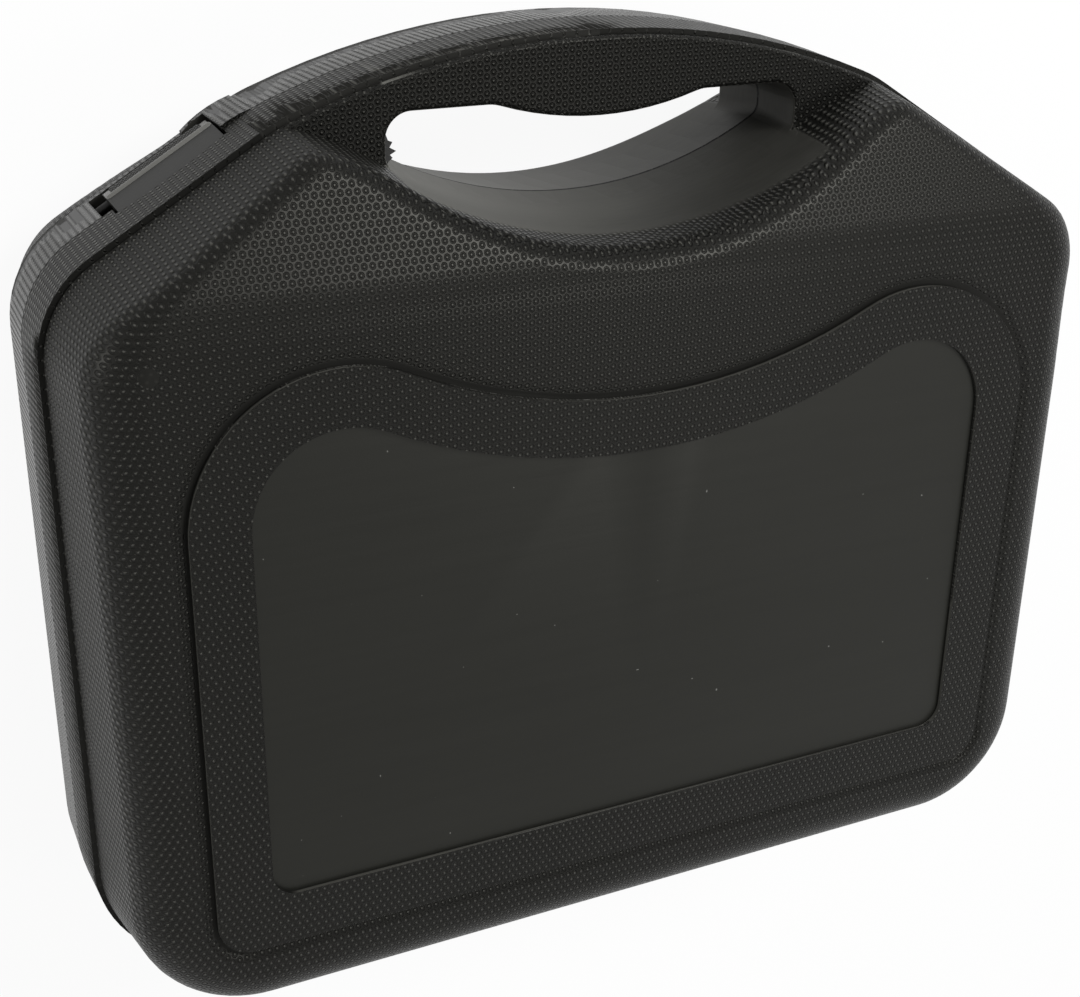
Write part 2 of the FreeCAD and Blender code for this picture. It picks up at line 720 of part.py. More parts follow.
def rim_bulge():
    """The low swelling of the base's rim just above the right latch's high end."""
    side = bulge_length / 2
    middle = notch_span()[0] - bulge_share * side
    low = -base_band_depth
    edges = [Part.makeLine(Vector(middle - side, -wall, low), Vector(middle + side, -wall, low)),
             Part.makeLine(Vector(middle + side, -wall, low), Vector(middle + side, 0, low)),
             Part.Arc(Vector(middle + side, 0, low), Vector(middle, bulge_rise, low),
                      Vector(middle - side, 0, low)).toShape(),
             Part.makeLine(Vector(middle - side, 0, low), Vector(middle - side, -wall, low))]
    return Part.Face(Part.Wire(edges)).extrude(Vector(0, 0, base_band_depth - parting_gap / 2))


def foot(grow, band_depth):
    """A foot on the hinge edge of a half, sunk a little way into its wall."""
    wall_y = hinge_edge_y + body_inset_at(foot_from_parting, band_depth)
    corner = Vector(foot_place - foot_length / 2 - grow, wall_y - foot_rise, foot_from_parting - foot_width / 2 - grow)
    block = Part.makeBox(foot_length + 2 * grow, foot_rise + foot_sink + grow, foot_width + 2 * grow, corner)
    outer = [edge for edge in block.Edges if edge.BoundBox.YMin < wall_y - foot_rise + grow]
    outer += [edge for edge in block.Edges if edge.BoundBox.YLength > foot_rise]
    return block.makeFillet(foot_radius, outer)


def turned_down(shape):
    """A shape drawn outwards from the parting face, turned down to belong to the base."""
    return shape.mirror(Vector(0, 0, 0), Vector(0, 0, 1))


def export(node, shape):
    """Write one node, lifted so that the case lies on the floor with its outer box centred."""
    placed = shape.copy()
    placed.translate(Vector(0, (hinge_reach + knuckle_radius) / 2, base_depth))
    if len(placed.Solids) != 1 or not placed.isValid():
        print("fault in", node, len(placed.Solids), placed.isValid())
    placed.Solids[0].exportStep("parts/" + node + ".step")


recess = on_shoulder(lid_recess())
lid_shell = with_knuckles(half(lid_depth, lid_band_depth, lid_band_draft, lid_lean_deg, lid_bend_share), 1)
lid_shell = lid_shell.cut([panel_recess(), recess, flipped(recess), foot(foot_fit, lid_band_depth)])

bulge = on_shoulder(rim_bulge())
notch = on_shoulder(base_notch())
base_foot = turned_down(foot(0, base_band_depth))
foot_seat = turned_down(foot(foot_fit, base_band_depth))
base_shell = turned_down(half(base_depth, base_band_depth, base_band_draft, base_lean_deg, base_bend_share))
base_shell = with_knuckles(base_shell.fuse([bulge, flipped(bulge)]), -1)
base_shell = base_shell.cut([notch, flipped(notch), foot_seat, flipped(foot_seat)])

right_latch = on_shoulder(latch())
right_latch_pin = on_shoulder(latch_pin())

os.makedirs("parts", exist_ok=True)
export("lid_shell", lid_shell)
export("lid_liner", liner([tray(liner_sheet)], [tray(0)]))
export("lid_foot", foot(0, lid_band_depth))
export("base_shell", base_shell)
export("base_liner", turned_down(liner(base_pockets(liner_sheet), base_pockets(0))))
export("base_foot_right", base_foot)
export("base_foot_left", flipped(base_foot))
export("hinge_pin_right", hinge_pin())
export("hinge_pin_left", flipped(hinge_pin()))
export("latch_right", right_latch)
export("latch_left", flipped(right_latch))
export("latch_pin_right", right_latch_pin)
export("latch_pin_left", flipped(right_latch_pin))
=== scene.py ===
import bpy
import bmesh
import math
from mathutils import Matrix, Vector
from mathutils.geometry import convex_hull_2d


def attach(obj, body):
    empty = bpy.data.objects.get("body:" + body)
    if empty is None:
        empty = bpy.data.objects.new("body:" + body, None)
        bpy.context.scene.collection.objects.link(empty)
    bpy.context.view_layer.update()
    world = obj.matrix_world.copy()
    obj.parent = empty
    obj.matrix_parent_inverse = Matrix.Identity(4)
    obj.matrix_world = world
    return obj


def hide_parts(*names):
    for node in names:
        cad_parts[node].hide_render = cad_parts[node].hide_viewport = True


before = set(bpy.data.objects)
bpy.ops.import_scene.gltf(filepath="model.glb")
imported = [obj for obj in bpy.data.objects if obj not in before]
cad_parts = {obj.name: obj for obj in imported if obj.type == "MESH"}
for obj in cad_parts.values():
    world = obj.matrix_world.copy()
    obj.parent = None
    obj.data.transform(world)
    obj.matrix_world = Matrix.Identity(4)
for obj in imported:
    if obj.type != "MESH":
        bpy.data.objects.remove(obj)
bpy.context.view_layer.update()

# The camera looks down on the lid from its left and from the handle's end, as in the photograph.
# Its place and turn were solved from the case's outline and its pebble rows.
photo_camera = bpy.data.cameras.new("photo_camera")
photo_camera.lens = 56.73
photo_camera.sensor_width = 36.0
photo_camera.clip_start = 0.01
camera_place = (-0.23472, 0.22523, 0.52237)
camera_right = Vector((0.90357, 0.01291, 0.42825))
camera_up = Vector((0.16288, 0.91415, -0.37122))
camera_back = Vector((-0.39628, 0.40518, 0.82389))
camera_turn = Matrix((camera_right, camera_up, camera_back)).transposed().to_4x4()
camera = bpy.data.objects.new("photo_camera", photo_camera)
camera.matrix_world = Matrix.Translation(camera_place) @ camera_turn
bpy.context.scene.collection.objects.link(camera)
bpy.context.scene.camera = camera
bpy.context.scene.view_settings.view_transform = "Standard"


# The floor is a pale matte board. Camera and mirror rays see most of its light as plain white,
# and the rest is the board itself, which keeps the case's soft shadow.
class Socket:
    """A socket of a material, for use in expressions: each operator adds its Math node."""

    def __init__(self, finish, socket):
        self.finish = finish
        self.socket = socket

    def math(self, operation, *others):
        values = dict(enumerate((self,) + others))
        return self.finish.node("ShaderNodeMath", {"operation": operation}, values)

    def __add__(self, other):
        return self.math("ADD", other)

    def __sub__(self, other):
        return self.math("SUBTRACT", other)

    def __mul__(self, other):
        return self.math("MULTIPLY", other)

    def __truediv__(self, other):
        return self.math("DIVIDE", other)

    def __rsub__(self, other):
        return self.finish.node("ShaderNodeMath", {"operation": "SUBTRACT"}, {0: other, 1: self})

    __radd__ = __add__

    def step(self, low, high):
        """Nought below low and one above high, smooth between them; low may be the larger."""
        return self.finish.node("ShaderNodeMapRange", {"interpolation_type": "SMOOTHSTEP"},
                                {"Value": self, "From Min": low, "From Max": high})

    def size(self):
        return self.math("ABSOLUTE")

    def most(self, other):
        return self.math("MAXIMUM", other)

    def towards(self, goal, share):
        """This value where share is nought, the goal where it is one."""
        return self + (goal - self) * share


class Finish:
    """A material being made, with its Principled shader and one way to add any other node."""

    def __init__(self, name, **plain):
        self.material = bpy.data.materials.new(name)
        self.material.use_nodes = True
        self.tree = self.material.node_tree
        self.tree.nodes.clear()
        self.shader = self.tree.nodes.new("ShaderNodeBsdfPrincipled")
        self.out = self.tree.nodes.new("ShaderNodeOutputMaterial")
        self.tree.links.new(self.shader.outputs[0], self.out.inputs["Surface"])
        for socket, value in plain.items():
            self.shader.inputs[socket.replace("_", " ")].default_value = value

    def node(self, kind, settings, values, output=0):
        made = self.tree.nodes.new(kind)
        for name, value in settings.items():
            setattr(made, name, value)
        for name, value in values.items():
            if isinstance(value, Socket):
                self.tree.links.new(value.socket, made.inputs[name])
            else:
                made.inputs[name].default_value = value
        return Socket(self, made.outputs[output])

    def seen(self):
        """One for a camera, mirror or glass ray, and nought for the rest."""
        rays = self.node("ShaderNodeLightPath", {}, {}, "Is Camera Ray")
        outputs = rays.socket.node.outputs
        mirror = Socket(self, outputs["Is Glossy Ray"])
        return rays.most(mirror.most(Socket(self, outputs["Is Transmission Ray"])))

    def feed(self, name, value):
        self.tree.links.new(value.socket, self.shader.inputs[name])

    def parts(self, whole):
        outputs = self.node("ShaderNodeSeparateXYZ", {}, {0: whole}).socket.node.outputs
        return [Socket(self, outputs[axis]) for axis in range(3)]

    def place(self):
        """The Object coordinates as one vector and as three numbers."""
        whole = self.node("ShaderNodeTexCoord", {}, {}, "Object")
        return [whole] + self.parts(whole)

    def noise(self, where, scale, detail=2.0, roughness=0.5):
        values = {"Vector": where, "Scale": scale, "Detail": detail, "Roughness": roughness}
        return self.node("ShaderNodeTexNoise", {}, values)

    def stretched(self, where, factors):
        return self.node("ShaderNodeVectorMath", {"operation": "MULTIPLY"}, {0: where, 1: factors})

    def mix(self, amount, low, high):
        mixed = self.node("ShaderNodeMix", {"data_type": "RGBA"}, {"Factor": amount}, "Result")
        made = mixed.socket.node
        for socket, value in ((made.inputs[6], low), (made.inputs[7], high)):
            if isinstance(value, Socket):
                self.tree.links.new(value.socket, socket)
            else:
                socket.default_value = value + (1.0,)
        return Socket(self, made.outputs[2])

    def bump(self, height, depth):
        bumped = self.node("ShaderNodeBump", {}, {"Height": height, "Distance": depth})
        self.feed("Normal", bumped)


floor_half = 9.0
floor_white = 0.93
floor_mesh = bpy.data.meshes.new("floor")
floor_corners = [(-floor_half, -floor_half, 0), (floor_half, -floor_half, 0),
                 (floor_half, floor_half, 0), (-floor_half, floor_half, 0)]
floor_mesh.from_pydata(floor_corners, [], [(0, 1, 2, 3)])
floor = bpy.data.objects.new("floor", floor_mesh)
bpy.context.scene.collection.objects.link(floor)
floor_finish = Finish("pale_floor", Base_Color=(0.86, 0.86, 0.86, 1), Roughness=0.9)
floor_glow = floor_finish.tree.nodes.new("ShaderNodeEmission")
floor_seen = floor_finish.seen() * floor_white
floor_mix = floor_finish.tree.nodes.new("ShaderNodeMixShader")
floor_finish.tree.links.new(floor_seen.socket, floor_mix.inputs[0])
floor_finish.tree.links.new(floor_finish.shader.outputs[0], floor_mix.inputs[1])
floor_finish.tree.links.new(floor_glow.outputs[0], floor_mix.inputs[2])
floor_finish.tree.links.new(floor_mix.outputs[0], floor_finish.out.inputs["Surface"])
floor_mesh.materials.append(floor_finish.material)

# The studio's walls are white to the camera and to mirrors, and dim to everything else, so the
# soft boxes shape the black plastic. Nothing of them is in the picture.
white_walls, dim_walls = 1.0, 0.4
world = bpy.data.worlds.new("studio")
bpy.context.scene.world = world
world.use_nodes = True
studio = world.node_tree
studio.nodes.clear()
rays = studio.nodes.new("ShaderNodeLightPath")
camera_or_mirror = studio.nodes.new("ShaderNodeMath")
camera_or_mirror.operation = "MAXIMUM"
studio.links.new(rays.outputs["Is Camera Ray"], camera_or_mirror.inputs[0])
mirror_or_glass = studio.nodes.new("ShaderNodeMath")
mirror_or_glass.operation = "MAXIMUM"
studio.links.new(rays.outputs["Is Glossy Ray"], mirror_or_glass.inputs[0])
studio.links.new(rays.outputs["Is Transmission Ray"], mirror_or_glass.inputs[1])
studio.links.new(mirror_or_glass.outputs[0], camera_or_mirror.inputs[1])
choose = studio.nodes.new("ShaderNodeMixShader")
studio.links.new(camera_or_mirror.outputs[0], choose.inputs[0])
for slot, strength in ((1, dim_walls), (2, white_walls)):
    walls = studio.nodes.new("ShaderNodeBackground")
    walls.inputs["Color"].default_value = (1, 1, 1, 1)
    walls.inputs["Strength"].default_value = strength
    studio.links.new(walls.outputs[0], choose.inputs[slot])
world_out = studio.nodes.new("ShaderNodeOutputWorld")
studio.links.new(choose.outputs[0], world_out.inputs[0])


def softbox(name, place, aim, width, height, power):
    lamp = bpy.data.lights.new(name, "AREA")
    lamp.shape = "RECTANGLE"
    lamp.size = width
    lamp.size_y = height
    lamp.energy = power
    box = bpy.data.objects.new(name, lamp)
    turn = (Vector(place) - Vector(aim)).to_track_quat("Z", "Y").to_matrix().to_4x4()
    box.matrix_world = Matrix.Translation(place) @ turn
    bpy.context.scene.collection.objects.link(box)


softbox("key_softbox", (0.56, 0.80, 1.18), (0, 0.05, 0.05), 0.5, 0.5, 16)
softbox("left_softbox", (-1.4, 0.25, 0.16), (0, 0.05, 0.05), 0.5, 0.3, 4)
softbox("front_softbox", (0.60, -0.14, 1.42), (0, 0.0, 0.1), 0.25, 0.25, 3)

# The lid is one moulding in black plastic. Its rim, body, pad and grip plate carry a pebble of
# small domes, cut into the mould; the panel, the opening's wall and the channel are plain.
parting = 0.0512
lid_band = 0.0190
base_band = 0.0220
plate_back = 0.0030
lid_plate_top = parting + lid_band + plate_back
base_plate_top = parting - base_band - plate_back
lid_top = 0.110
panel_sink = (0.001, 0.002)
panel_half_width = 0.1235
panel_low, panel_high = -0.108, 0.056
grip_half_width, grip_low = 0.12, 0.095
opening_half_width = 0.0675
opening_low, opening_high = 0.088, 0.137
smallest_flat_face = 0.000008


def smooth_copy(node, name):
    """A merged copy of a CAD piece's mesh, shaded smooth across its rounded edges."""
    near, sliver = 0.000004, 0.00001
    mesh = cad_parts[node].data.copy()
    mesh.name = name
    mesh.materials.clear()
    work = bmesh.new()
    work.from_mesh(mesh)
    bmesh.ops.remove_doubles(work, verts=work.verts, dist=near)
    bmesh.ops.dissolve_limit(work, angle_limit=math.radians(0.05), verts=work.verts,
                             edges=work.edges)
    # the way round the rim is counted from the middle on both sides, so no face crosses it
    bmesh.ops.bisect_plane(work, geom=work.verts[:] + work.edges[:] + work.faces[:],
                           plane_co=(0, 0, 0), plane_no=(1, 0, 0))
    bmesh.ops.remove_doubles(work, verts=work.verts, dist=sliver)
    bmesh.ops.dissolve_degenerate(work, dist=sliver, edges=work.edges)
    work.to_mesh(mesh)
    work.free()
    mesh.shade_smooth()
    mesh.set_sharp_from_angle(angle=math.radians(32))
    piece = bpy.data.objects.new(name, mesh)
    bpy.context.scene.collection.objects.link(piece)
    weighted = piece.modifiers.new("weighted", "WEIGHTED_NORMAL")
    weighted.keep_sharp = True
    weighted.mode = "FACE_AREA_WITH_ANGLE"
    return piece


def rim_path():
    """The right half of the rim's outline, from the hinge edge's middle to the top's middle."""
    rim_level, knuckle_end = 0.0514, -0.1432
    points = [(abs(v.co.x), v.co.y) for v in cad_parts["lid_shell"].data.vertices
              if abs(v.co.z - rim_level) < 0.0001 and v.co.y > knuckle_end]
    points += [(-x, y) for x, y in points]
    hull = [points[number] for number in convex_hull_2d(points)]
    right = sorted({(round(x, 6), round(y, 6)) for x, y in hull if x >= 0},
                   key=lambda p: math.atan2(p[0], -p[1]))
    right = [(0, right[0][1])] + [p for p in right if p[0] > 0] + [(0, right[-1][1])]
    path = [(0.0, right[0])]
    for before, after in zip(right, right[1:]):
        path.append((path[-1][0] + math.dist(before, after), after))
    return path


def round_the_rim(path, x, y):
    """How far round the rim a point lies, from the nearest place on the rim's outline."""
    x = abs(x)
    best = (1.0, 0.0)
    for (u0, (x0, y0)), (u1, (x1, y1)) in zip(path, path[1:]):
        run_x, run_y = x1 - x0, y1 - y0
        share = ((x - x0) * run_x + (y - y0) * run_y) / ((u1 - u0) ** 2)
        share = min(max(share, 0.0), 1.0)
        gap = math.hypot(x - x0 - share * run_x, y - y0 - share * run_y)
        if gap < best[0]:
            best = (gap, u0 + share * (u1 - u0))
    return best[1]


def mark_the_rim(mesh):
    path = rim_path()
    around = mesh.attributes.new("around", "FLOAT", "POINT")
    for vertex in mesh.vertices:
        around.data[vertex.index].value = round_the_rim(path, vertex.co.x, vertex.co.y)


def lattice(along, across, pitch, row, squash=1.0):
    """How far a point lies from the nearest centre of a field in staggered rows."""
    nearest = None
    for shift in (0.0, 0.5):
        a = ((along / pitch + shift).math("FRACT") - 0.5) * (pitch * squash)
        b = ((across / (2 * row) + shift).math("FRACT") - 0.5) * (2 * row)
        distance = (a * a + b * b).math("SQRT")
        nearest = distance if nearest is None else nearest.math("MINIMUM", distance)
    return nearest


def pebbled(name, turned=False, depth=0.00055, level=0.16, high=(0.068, 0.0672, 0.0600)):
    """The moulded pebble, with the plain places that the mould leaves in it; its tips carry painted
    highlight up to the high colour, and its pits, grooves and channel painted shade.
    """
    pitch, row, band_pitch = 0.00239, 0.00207, 0.00180
    # the first colour is the darkest tone, the plastic's own black, which also stands as painted
    # shade in the pits, grooves and channel; the second is a painted light grey for the dip's wall
    pit, painted_lit_wall = (0.0020, 0.0020, 0.0018), (0.128, 0.127, 0.115)
    finish = Finish(name, Specular_IOR_Level=level, Specular_Tint=(1.0, 0.985, 0.9, 1))
    whole, x, y, z = finish.place()
    normal = finish.node("ShaderNodeTexCoord", {}, {}, "Normal")
    to_right, to_handle, out = finish.parts(normal)
    facing = out.size()
    upright = facing.step(0.54, 0.44)
    around = finish.node("ShaderNodeAttribute", {"attribute_name": "around"}, {}, "Fac")
    above = z - parting

    # the faces: round domes, each in a pit in a flat net
    gap = lattice(y, x, pitch, row) if turned else lattice(x, y, pitch, row)
    dome = gap.step(0.00070, 0.00010)
    net = gap.step(0.00076, 0.00102)
    # painted highlight: each dome's small tip, painted lighter in the colour
    painted_glint = gap.step(0.00046, 0.00012)

    # the walls: domes drawn out along the way the mould opens, set closer on the lid's band
    on_lid_band = above.step(-0.0001, 0.0001) * above.step(lid_band + 0.0002, lid_band)
    long_gap = lattice(z, around, pitch, row, 0.70)
    small_gap = lattice(z, around, band_pitch, row, 0.80)
    wall_gap = long_gap.towards(small_gap, on_lid_band)
    wall_dome = wall_gap.step(0.00090, 0.00014)
    # painted highlight: each wall dome's tip, painted lighter in the colour
    painted_wall_glint = wall_gap.step(0.00056, 0.00014)

    # the base's band: rounded bars across the rim, notched in staggered rows
    on_base_band = above.step(0.0001, -0.0001) * above.step(-base_band - 0.0002, -base_band)
    bar = ((around / row).math("FRACT") - 0.5) * 2
    bars = 1 - bar * bar
    wall_dome = wall_dome.towards(bars * (1.10 + wall_dome * 0.50), on_base_band)
    # painted highlight on the bars' crests, with painted shade in the gaps between them
    painted_bar_glint = bars * bars * bars * (0.42 + painted_wall_glint * 0.36)
    painted_wall_glint = painted_wall_glint.towards(painted_bar_glint, on_base_band)
    tips = dome.towards(wall_dome, upright)
    painted_glint = painted_glint.towards(painted_wall_glint, upright)
    height = dome.most(net * 0.60).towards(wall_dome, upright)

    # the grooves between the bands and the bodies are plain, with ragged edges, and painted dark as
    # the shade that falls in them
    groove = (above - lid_band - 0.0006).size().step(0.0009, 0.0006)
    groove = groove + (above + base_band + 0.0006).size().step(0.0009, 0.0006)
    ragged = groove * (1 - painted_wall_glint * 0.7)

    # the channel round the pad is plain too and painted dark as the shade in it; the ends of the
    # latches' notches are plain and painted lighter, as painted light over the shade in them
    channel_wall = upright * above.step(0.0562, 0.0568)
    channel_floor = above.step(0.0558, 0.0562) * above.step(0.0572, 0.0570)
    channel_floor = channel_floor * facing.step(0.985, 0.995)
    to_left = (to_handle * 0.5 - to_right * 0.86).step(0.15, 0.75)
    notch_end = above.step(-0.001, -0.002) * above.step(-base_band, -base_band + 0.0004)
    notch_end = notch_end * facing.step(0.90, 0.95)
    pad_edge = to_left * above.step(0.0575, 0.0579)
    # painted light on plain places: a faint tone on the channel's wall, a painted highlight along
    # the pad's edge that faces left and up, and painted light on the notch ends
    painted_edge_light = channel_wall * (0.05 + pad_edge * 1.6) + notch_end * 0.30

    # the wall of the dip under the hand is smooth; its colour carries painted light, brightest at
    # the left end, dimmer towards the lid and crossed by streaks
    inner = x.size().step(0.0692, 0.0680) * facing.step(0.62, 0.50)
    inner = inner * y.step(0.086, 0.090) * y.step(0.142, 0.138) * above.step(0.0440, 0.0400)
    painted_wall_light = 2.50 - x.step(-0.066, 0.036) * 2.20
    painted_wall_light = painted_wall_light * (1 - above.step(0.016, 0.036) * 0.55)
    drawn = finish.noise(finish.stretched(whole, (120.0, 120.0, 900.0)), 1.0, 3.0)
    painted_wall_light = painted_wall_light + drawn * 0.30
    seam = above.size().step(0.0009, 0.0006) * inner

    # the plain places lose their pebbles, and in the colour they fall to the darkest tone: painted
    # shade in the grooves and the channel
    plain = ragged.most(channel_wall.most(channel_floor)).most(notch_end) * (1 - inner)
    height = height.towards(0.6, inner.most(plain))
    painted_glint = painted_glint * (1 - inner) * (1 - plain)
    tips = tips.towards(0.9, inner)

    # a small round mark near the lid's upper left corner has no pebbles
    mark_x, mark_y, mark_rim = -0.1476, 0.0756, (0.0030, 0.0026)
    off_x, off_y = x - mark_x, y - mark_y
    mark = (off_x * off_x + off_y * off_y).math("SQRT").step(*mark_rim) * above.step(0.04, 0.05)
    painted_glint = painted_glint * (1 - mark)
    height = height.towards(0.35, mark)

    cloud = finish.noise(whole, 9.0, 3.0)
    grain = finish.noise(whole, 2600.0, 2.0)
    # the colour: the domes, their tips and the bars' crests are painted lighter as painted
    # highlight, and the plain places are left darkest as painted shade
    amount = (cloud * 0.05 + tips * 0.12 + painted_glint * 0.75) * (1 - plain)
    amount = (amount + inner * painted_wall_light + painted_edge_light) * (1 - seam)
    # painted light: the dip's wall is mixed towards the light grey as far as its painted light
    # reaches
    painted_light_share = inner * (1 - seam) * (painted_wall_light * 0.62 - 0.55)
    finish.feed("Base Color", finish.mix(painted_light_share, finish.mix(amount, pit, high), painted_lit_wall))
    finish.feed("Roughness", 0.42 - height * 0.18 + cloud * 0.06 + inner * 0.16 + plain * 0.3)
    finish.bump(height + grain * 0.04, depth)
    return finish.material


def plain_plastic(name, low, high, roughness, depth):
    finish = Finish(name, Specular_IOR_Level=0.25)
    whole = finish.place()[0]
    cloud = finish.noise(whole, 14.0, 4.0, 0.6)
    grain = finish.noise(whole, 1800.0, 2.0)
    finish.feed("Base Color", finish.mix(cloud, low, high))
    finish.feed("Roughness", cloud * 0.12 + roughness)
    finish.bump(grain, depth)
    return finish.material


def drawn_panel(name):
    """The panel's smooth plastic, with faint drawn streaks, a few specks of dust and a painted
    reflection that grows lighter towards the panel's bottom.
    """
    dark, light = (0.0035, 0.0038, 0.0030), (0.0120, 0.0122, 0.0104)
    dust = (0.16, 0.16, 0.15)
    finish = Finish(name, Specular_IOR_Level=0.22, Specular_Tint=(1.0, 0.985, 0.9, 1))
    whole, x, y, z = finish.place()
    streak = finish.noise(finish.stretched(whole, (9.0, 260.0, 9.0)), 1.0, 5.0, 0.62)
    cloud = finish.noise(finish.stretched(whole, (10.0, 16.0, 10.0)), 1.0, 4.0, 0.6)
    speck = finish.noise(whole, 620.0, 0.0).step(0.885, 0.90)
    fine = finish.noise(whole, 2400.0, 2.0)
    # painted reflection: the panel grows lighter towards its bottom, away from the handle
    amount = streak * 0.35 + cloud * 0.30 + (0.05 - y) * 1.2 + fine * 0.1
    finish.feed("Base Color", finish.mix(speck, finish.mix(amount, dark, light), dust))
    finish.feed("Roughness", streak * 0.10 + 0.30 + cloud * 0.06)
    finish.bump(streak * 0.7 + fine * 0.3, 0.00006)
    return finish.material


body_pebble = pebbled("pebbled_plastic")
# the grip plate is the same pebble, painted darker and with less shine: painted shade
shaded_grip_pebble = pebbled("pebbled_grip_painted_shade", turned=True, level=0.10, high=(0.050, 0.0494, 0.0440))
panel_plastic = drawn_panel("panel_plastic")
smooth_plastic = plain_plastic("smooth_plastic", (0.009, 0.009, 0.0085), (0.015, 0.015, 0.014),
                               0.40, 0.00004)
shell_finishes = (body_pebble, shaded_grip_pebble, panel_plastic)


def shell_part(face):
    """Which of the shell's finishes a face takes, from where it lies and which way it looks."""
    spot = face.calc_center_median()
    in_grip = abs(spot.x) < grip_half_width and spot.y > grip_low
    from_plate = min(abs(spot.z - lid_plate_top), abs(spot.z - base_plate_top))
    if in_grip and abs(face.normal.z) > 0.9 and from_plate < 0.0003:
        return shell_finishes.index(shaded_grip_pebble)
    sunk = panel_sink[0] < lid_top - spot.z < panel_sink[1]
    in_panel = abs(spot.x) < panel_half_width and panel_low < spot.y < panel_high
    if sunk and in_panel and face.normal.z > 0.9:
        return shell_finishes.index(panel_plastic)
    return shell_finishes.index(body_pebble)


def is_opening_wall(face):
    """Whether a face is a broad one of the hand opening's wall, which is shaded flat."""
    spot = face.calc_center_median()
    across = abs(spot.x) < opening_half_width and opening_low < spot.y < opening_high
    broad = face.calc_area() > smallest_flat_face and abs(face.normal.z) < 0.2
    return across and broad and base_plate_top < spot.z < lid_plate_top


def dress_shell(node, name, body):
    shell = smooth_copy(node, name)
    for finish in shell_finishes:
        shell.data.materials.append(finish)
    work = bmesh.new()
    work.from_mesh(shell.data)
    for face in work.faces:
        face.material_index = shell_part(face)
        if is_opening_wall(face):
            face.smooth = False
    work.to_mesh(shell.data)
    work.free()
    mark_the_rim(shell.data)
    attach(shell, body)
    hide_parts(node)


dress_shell("lid_shell", "lid_moulding", "lid")

# A torn edge of moulding flash hangs in the opening's left end. It is a thin flake of the lid's
# own plastic, left where the mould's halves met.
flash_under, flash_over = 0.0704, 0.0708
flash_outline_mm = [(-69.2, 124.6), (-67.3, 124.0), (-66.7, 122.4), (-65.4, 121.9), (-66.3, 120.4),
                    (-64.3, 119.3), (-66.2, 118.3), (-65.4, 117.4), (-66.6, 116.5), (-67.6, 114.6)]
flash_corners = [(x / 1000, y / 1000, z)
                 for z in (flash_under, flash_over) for x, y in flash_outline_mm]
count = len(flash_outline_mm)
flash_faces = [tuple(range(count))[::-1], tuple(range(count, 2 * count))]
flash_faces += [(i, (i + 1) % count, (i + 1) % count + count, i + count) for i in range(count)]
flash_mesh = bpy.data.meshes.new("torn_flash")
flash_mesh.from_pydata(flash_corners, [], flash_faces)
work = bmesh.new()
work.from_mesh(flash_mesh)
bmesh.ops.recalc_face_normals(work, faces=work.faces)
work.to_mesh(flash_mesh)
work.free()
flash_mesh.materials.append(smooth_plastic)
flash = bpy.data.objects.new("torn_flash", flash_mesh)
bpy.context.scene.collection.objects.link(flash)
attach(flash, "lid")

# The back half is the same kind of moulding without the panel, in the same pebbled plastic. Its
# band is barred, and it carries the latches, the pins and two of the feet.
dress_shell("base_shell", "base_moulding", "base")

# The liners are vacuum formed trays of thinner dark grey sheet, with a fine matte skin. Each is
# held by its rim inside its shell.
liner_plastic = plain_plastic("liner_sheet", (0.030, 0.030, 0.031), (0.040, 0.040, 0.041),
                              0.5, 0.00005)
for node, name, body in (("base_liner", "base_tray", "base"), ("lid_liner", "lid_tray", "lid")):
    tray = smooth_copy(node, name)
    tray.data.materials.append(liner_plastic)
    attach(tray, body)
    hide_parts(node)

# The latches are small black mouldings, turned on a pin in the base's notch. Each has a smooth
# bevelled plate, a rounded pulling lip, two smooth end blocks and rows of moulded studs.
latch_middle = Vector((0.12515, 0.11533, 0.0512))
shoulder_turn = math.radians(31.4)
latch_half = 0.01825
pivot_back = 0.0155
tail_radius = 0.0034


def on_latch(side, along, out, back):
    """A point on a latch, from its run down the shoulder, its height out of it and its depth."""
    x = latch_middle.x + along * math.cos(shoulder_turn) + out * math.sin(shoulder_turn)
    y = latch_middle.y - along * math.sin(shoulder_turn) + out * math.cos(shoulder_turn)
    return Vector((x * side, y, latch_middle.z - back))


def latch_piece(name, side, points, faces, finish, soft):
    """A small moulded solid on a latch, from corners given in the latch's own frame."""
    mesh = bpy.data.meshes.new(name)
    mesh.from_pydata([on_latch(side, *point) for point in points], [], faces)
    work = bmesh.new()
    work.from_mesh(mesh)
    bmesh.ops.recalc_face_normals(work, faces=work.faces)
    if soft:
        bmesh.ops.bevel(work, geom=work.edges[:], offset=soft, segments=3, affect="EDGES",
                        profile=0.5)
    work.to_mesh(mesh)
    work.free()
    mesh.shade_smooth()
    mesh.set_sharp_from_angle(angle=math.radians(50))
    mesh.materials.append(finish)
    piece = bpy.data.objects.new(name, mesh)
    bpy.context.scene.collection.objects.link(piece)
    return piece


def lip(name, side, finish):
    """The rounded lip that a thumb pulls, with drawn-in ends."""
    lip_radius, lip_out, lip_back, turns = 0.0012, 0.0003, 0.0078, 20
    rings = ((-1, 0.35), (-0.985, 0.8), (-0.95, 1), (0.95, 1), (0.985, 0.8), (1, 0.35))
    points = []
    for share, scale in rings:
        for turn in range(turns):
            angle = 2 * math.pi * turn / turns
            radius = lip_radius * scale
            points.append((share * latch_half, lip_out + radius * math.cos(angle),
                           lip_back + radius * math.sin(angle)))
    faces = []
    for start in range(0, (len(rings) - 1) * turns, turns):
        for turn in range(turns):
            after = (turn + 1) % turns
            faces.append((start + turn, start + after, start + turns + after, start + turns + turn))
    faces.append(tuple(range(turns)))
    faces.append(tuple(range((len(rings) - 1) * turns, len(rings) * turns)))
    return latch_piece(name, side, points, faces, finish, 0)


